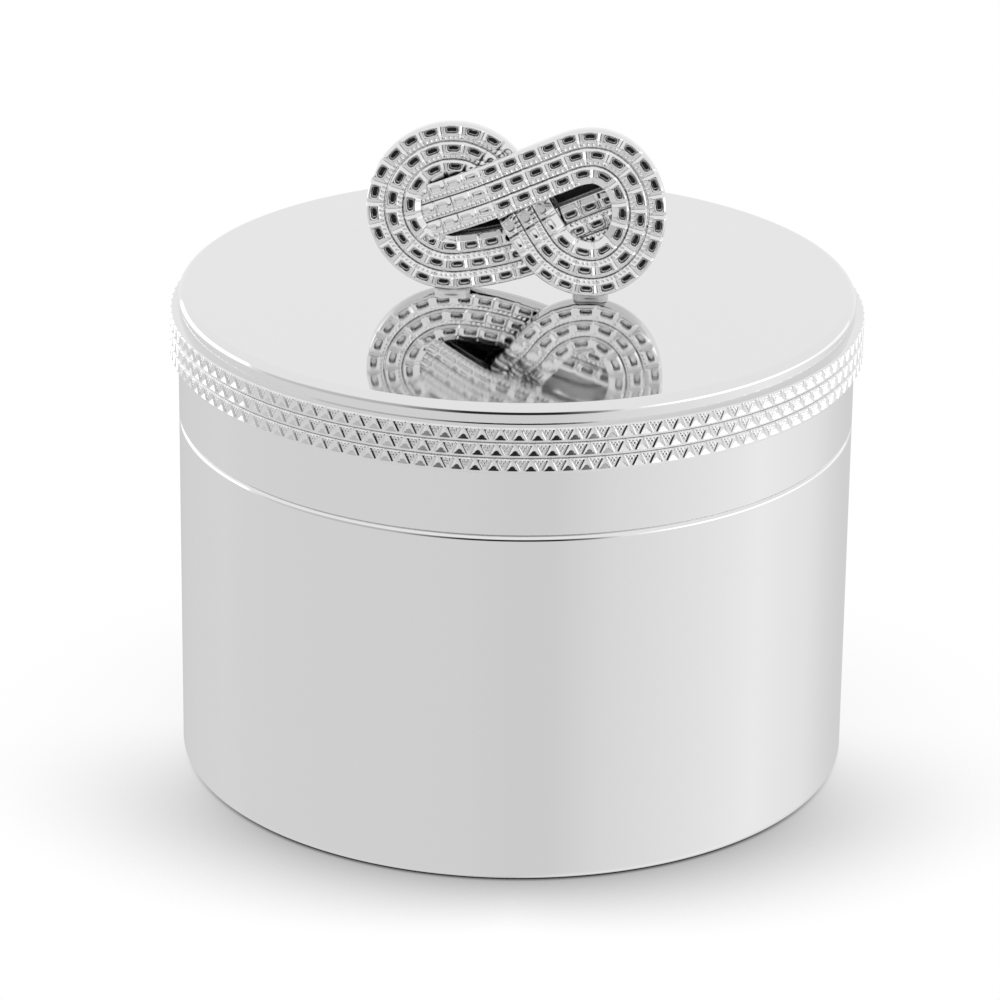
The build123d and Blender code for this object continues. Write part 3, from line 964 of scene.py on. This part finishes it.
# Light as the polished metal sees it: level by azimuth in degrees, 0 towards the camera and 90 to its right
LEVEL_SCALE = 2.5
MIRRORED_STRENGTH = 2.06
FLOOR_LEVELS = (
    (-180, 0.74),
    (-172, 0.76),
    (-156, 0.87),
    (-143, 0.93),
    (-118, 0.99),
    (-100, 0.97),
    (-20, 0.95),
    (0, 0.915),
    (13, 0.92),
    (31, 1.03),
    (69, 1.16),
    (92, 1.25),
    (121, 1.14),
    (137, 1.0),
    (151, 0.9),
    (166, 0.82),
    (180, 0.74),
)
HORIZON_LEVELS = (
    (-98, 1.17),
    (-88, 0.85),
    (-40, 0.65),
    (-30, 0.35),
    (-17, 0.03),
    (15, 0.03),
    (26, 0.3),
    (36, 1.17),
)
LEFT_BOX_LEVELS = ((-158, 0.0), (-150, 1.7), (-115, 2.1), (-100, 2.1), (-92, 0.0))
RIGHT_BOX_LEVELS = ((35, 0.0), (40, 1.3), (60, 2.2), (90, 2.1), (115, 1.5), (143, 1.4), (150, 0.0))
SKY_LEVEL = 1.17
WHITE = (1.0, 1.0, 1.0, 1.0)

# Half the width of the floor, and the shadow on it: how much wider it is to the sides, how deep in front of
# the box and behind it, and between which places that changes, in millimetres
FLOOR_HALF = 600.0
SHADOW_SPREAD_SHARE = 0.24
SHADOW_SHARE = 1.1
SHADOW_BACK_SHARE = 0.15
SHADOW_FRONT = -20.0
SHADOW_BACK = 4.0
SHADOW_SAMPLES = 16

# Lowest and highest elevation of the horizon and of the softboxes, and how soft their edges are, in degrees
HORIZON_EDGES = (-16, 11)
LEFT_BOX_EDGES = (-12, 12)
RIGHT_BOX_EDGES = (-12, 6)
EDGE_BLUR = 3.0

# How much narrower the dark part of the horizon is towards its top
DARK_TAPER = 2.0

# Lamp, in metres and watts
LAMP_PLACE = (0.25, -0.1, 0.45)
LAMP_AIM = (0, 0, 0.02)
LAMP_WIDTH = 0.3
LAMP_POWER = 0.25

# Camera: its focal length in widths of its sensor, the point that it looks at and its distance from it in
# millimetres, its roll, and how near and how far it sees in metres
CAMERA_LENS_SHARE = 5.06837
CAMERA_TARGET = (-1.08, 0, 19.42)
CAMERA_DISTANCE = 380.28
CAMERA_ROLL = radians(0.69)
CAMERA_NEAR = 0.01
CAMERA_FAR = 10


def azimuth_levels(tree, turn, levels):
    """Light levels by azimuth. The first and the last hold beyond their azimuths."""
    stops = [((azimuth + 180) / 360, level / LEVEL_SCALE) for azimuth, level in levels]
    return ramp(tree, turn, stops)


def over_edge(tree, height, edge):
    """0 below an elevation and 1 above it."""
    return eased(tree, height, sin(radians(edge - EDGE_BLUR)), sin(radians(edge + EDGE_BLUR)))


def between_edges(tree, height, edges):
    """1 between two elevations and 0 outside them."""
    return summed(tree, "SUBTRACT", over_edge(tree, height, edges[0]), over_edge(tree, height, edges[1]))


class ToothBoxStage(bpy.types.Operator):
    """Sets the floor, the white surroundings, the lamp and the camera"""

    bl_idname = "tooth_box.stage"
    bl_label = "Stage"

    def execute(self, context):
        settings = context.scene.tooth_box_stage
        self.make_floor(settings)
        self.make_surroundings(context)
        self.make_lamp(context)
        self.make_camera(context, settings)
        context.scene.view_settings.view_transform = "Standard"
        return {"FINISHED"}

    def make_floor(self, settings):
        """White floor, which the camera sees with the soft shadow of the box, and metal doesn't see."""
        ends = (-FLOOR_HALF, FLOOR_HALF)
        rows = [[(x, y, 0.0) for x in ends] for y in ends]
        material, output = new_material("studio_floor")
        tree = material.node_tree
        place = add_node(tree, "ShaderNodeTexCoord").outputs["Object"]
        parts = add_node(tree, "ShaderNodeSeparateXYZ", inputs={0: place})
        aside = summed(tree, "ABSOLUTE", parts.outputs["X"])
        spread = summed(tree, "MULTIPLY", aside, SHADOW_SPREAD_SHARE)
        reach = summed(tree, "ADD", spread, settings.shadow_reach)
        shade = add_node(tree, "ShaderNodeAmbientOcclusion", {"samples": SHADOW_SAMPLES}, {"Distance": reach})
        hidden = summed(tree, "SUBTRACT", 1.0, shade.outputs["AO"])
        places = (SHADOW_FRONT * MM, SHADOW_BACK * MM)
        depth = eased(tree, parts.outputs["Y"], *places, SHADOW_SHARE, SHADOW_BACK_SHARE)
        light = summed(tree, "SUBTRACT", 1.0, summed(tree, "MULTIPLY", hidden, depth))
        colour = settings.floor_colour
        seen = add_node(tree, "ShaderNodeEmission", inputs={"Color": colour, "Strength": light})
        lit = add_node(tree, "ShaderNodeBsdfDiffuse", inputs={"Color": colour})
        clear = add_node(tree, "ShaderNodeBsdfTransparent")
        path = add_node(tree, "ShaderNodeLightPath")
        mirrored = summed(tree, "MAXIMUM", path.outputs["Is Glossy Ray"], path.outputs["Is Transmission Ray"])
        unseen = {0: mirrored, 1: lit.outputs[0], 2: clear.outputs[0]}
        others = add_node(tree, "ShaderNodeMixShader", inputs=unseen)
        whole = {0: path.outputs["Is Camera Ray"], 1: others.outputs[0], 2: seen.outputs[0]}
        shader = add_node(tree, "ShaderNodeMixShader", inputs=whole)
        tree.links.new(shader.outputs[0], output.inputs["Surface"])
        piece = grid_piece("studio_floor", rows, "studio_floor", closed_rows=False, closed_columns=False)

    def make_surroundings(self, context):
        """White surroundings. Metal and glass see a floor, a horizon, a sky and two softboxes in them."""
        world = bpy.data.worlds.new("studio")
        world.use_nodes = True
        context.scene.world = world
        tree = world.node_tree
        tree.nodes.clear()
        looked = add_node(tree, "ShaderNodeTexCoord").outputs["Generated"]
        way = add_node(tree, "ShaderNodeSeparateXYZ", inputs={0: looked})
        turned = summed(tree, "ARCTAN2", way.outputs["X"], summed(tree, "MULTIPLY", way.outputs["Y"], -1.0))
        turn = summed(tree, "ADD", summed(tree, "DIVIDE", turned, 2 * pi), 0.5)
        height = way.outputs["Z"]
        below = azimuth_levels(tree, turn, FLOOR_LEVELS)
        lift = summed(tree, "MULTIPLY", summed(tree, "MAXIMUM", height, 0.0), DARK_TAPER)
        widened = summed(tree, "ADD", lift, 1.0)
        spread = summed(tree, "MULTIPLY", summed(tree, "SUBTRACT", turn, 0.5), widened)
        beside = azimuth_levels(tree, summed(tree, "ADD", spread, 0.5), HORIZON_LEVELS)
        over_floor = over_edge(tree, height, HORIZON_EDGES[0])
        over_horizon = over_edge(tree, height, HORIZON_EDGES[1])
        mixing = {"data_type": "RGBA"}
        low = add_node(tree, "ShaderNodeMix", mixing, {"Factor": over_floor, "A": below, "B": beside})
        low = low.outputs["Result"]
        sky = (SKY_LEVEL / LEVEL_SCALE,) * 3 + (1.0,)
        whole = add_node(tree, "ShaderNodeMix", mixing, {"Factor": over_horizon, "A": low, "B": sky})
        level = whole.outputs["Result"]
        for levels, edges in ((LEFT_BOX_LEVELS, LEFT_BOX_EDGES), (RIGHT_BOX_LEVELS, RIGHT_BOX_EDGES)):
            across = azimuth_levels(tree, turn, levels)
            softbox = summed(tree, "MULTIPLY", across, between_edges(tree, height, edges))
            level = summed(tree, "MAXIMUM", level, softbox)
        look = {"Color": level, "Strength": MIRRORED_STRENGTH}
        mirrored = add_node(tree, "ShaderNodeBackground", inputs=look)
        plain = add_node(tree, "ShaderNodeBackground", inputs={"Color": WHITE, "Strength": 1.0})
        path = add_node(tree, "ShaderNodeLightPath")
        sees = summed(tree, "MAXIMUM", path.outputs["Is Glossy Ray"], path.outputs["Is Transmission Ray"])
        choice = {0: sees, 1: plain.outputs[0], 2: mirrored.outputs[0]}
        both = add_node(tree, "ShaderNodeMixShader", inputs=choice)
        output = add_node(tree, "ShaderNodeOutputWorld")
        tree.links.new(both.outputs[0], output.inputs["Surface"])

    def make_lamp(self, context):
        """Weak round lamp at the upper right, which metal doesn't mirror."""
        lamp = bpy.data.lights.new("soft_key", "AREA")
        lamp.shape = "DISK"
        lamp.size = LAMP_WIDTH
        lamp.energy = LAMP_POWER
        holder = bpy.data.objects.new("soft_key", lamp)
        holder.location = LAMP_PLACE
        aim = Vector(LAMP_AIM) - holder.location
        holder.rotation_euler = aim.to_track_quat("-Z", "Y").to_euler()
        holder.visible_glossy = False
        context.scene.collection.objects.link(holder)

    def make_camera(self, context, settings):
        """Camera where the photograph was taken from."""
        camera = bpy.data.cameras.new("camera")
        camera.lens = CAMERA_LENS_SHARE * camera.sensor_width
        camera.clip_start = CAMERA_NEAR
        camera.clip_end = CAMERA_FAR
        holder = bpy.data.objects.new("camera", camera)
        elevation = settings.elevation
        away = Vector((0, -cos(elevation), sin(elevation)))
        place = Vector(CAMERA_TARGET) * MM + away * (CAMERA_DISTANCE * MM)
        turned = Matrix.Rotation(pi / 2 - elevation, 4, "X") @ Matrix.Rotation(CAMERA_ROLL, 4, "Z")
        holder.matrix_world = Matrix.Translation(place) @ turned
        context.scene.collection.objects.link(holder)
        context.scene.camera = holder


class ToothBoxPanel(bpy.types.Panel):
    """Shows the operators and the settings of the tooth box"""

    bl_idname = "VIEW3D_PT_tooth_box"
    bl_label = "Tooth box"
    bl_space_type = "VIEW_3D"
    bl_region_type = "UI"
    bl_category = "Tooth box"

    def draw(self, context):
        for operator in OPERATORS:
            self.layout.operator(operator.bl_idname)
        for settings in SETTINGS:
            for name in settings[1].__annotations__:
                self.layout.prop(getattr(context.scene, settings[0]), name)


OPERATORS = (ToothBoxPlate, ToothBoxWires, ToothBoxKnot, ToothBoxLinings, ToothBoxStage)
SETTINGS = (
    ("tooth_box_finish", FinishSettings),
    ("tooth_box_band", BandSettings),
    ("tooth_box_knot", KnotSettings),
    ("tooth_box_stage", StageSettings),
)


def register():
    """Registers the settings, the operators and the panel."""
    for name, group in SETTINGS:
        bpy.utils.register_class(group)
        setattr(bpy.types.Scene, name, bpy.props.PointerProperty(type=group))
    for operator in OPERATORS:
        bpy.utils.register_class(operator)
    bpy.utils.register_class(ToothBoxPanel)


def unregister():
    """Removes what register added."""
    bpy.utils.unregister_class(ToothBoxPanel)
    for operator in reversed(OPERATORS):
        bpy.utils.unregister_class(operator)
    for name, group in reversed(SETTINGS):
        delattr(bpy.types.Scene, name)
        bpy.utils.unregister_class(group)


def main():
    """Builds the whole scene round the frame."""
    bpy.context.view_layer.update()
    register()
    bpy.ops.tooth_box.plate()
    bpy.ops.tooth_box.wires()
    bpy.ops.tooth_box.knot()
    bpy.ops.tooth_box.linings()
    bpy.ops.tooth_box.stage()


if __name__ == "__main__":
    main()
